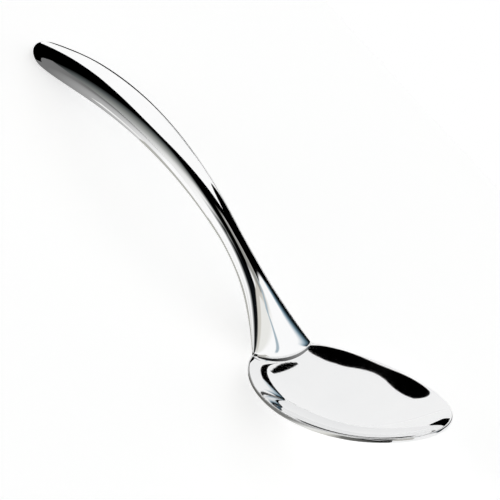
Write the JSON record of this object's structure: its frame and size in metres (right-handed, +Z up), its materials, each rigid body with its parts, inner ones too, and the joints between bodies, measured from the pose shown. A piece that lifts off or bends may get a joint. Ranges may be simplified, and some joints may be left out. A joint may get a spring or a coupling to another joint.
{
  "type": "serving spoon",
  "caption": "Serving spoon with an oval bowl and an arched hollow handle whose skirted neck is seated on the bowl's heel.",
  "frame": {"origin": "on the table, at the middle of the spoon's length and width, with the spoon lying at rest on its heel and its handle's end", "axes": "+X from the handle's end to the bowl's tip, +Y across the spoon, +Z up from the table"},
  "size_m": [0.3384, 0.0648, 0.0404],
  "materials": {
    "bowl_steel": "mirror-polished stainless steel sheet",
    "handle_steel": "mirror-polished stainless steel sheet",
    "weld_steel": "stainless weld metal, dressed and polished with the shells"
  },
  "bodies": {
    "root": {"bowl": "bowl_steel", "handle_front_shell": "handle_steel", "handle_back_shell": "handle_steel", "handle_seam_weld": "weld_steel", "lip_weld": "weld_steel", "heel_weld": "weld_steel"}
  },
  "joints": []
}
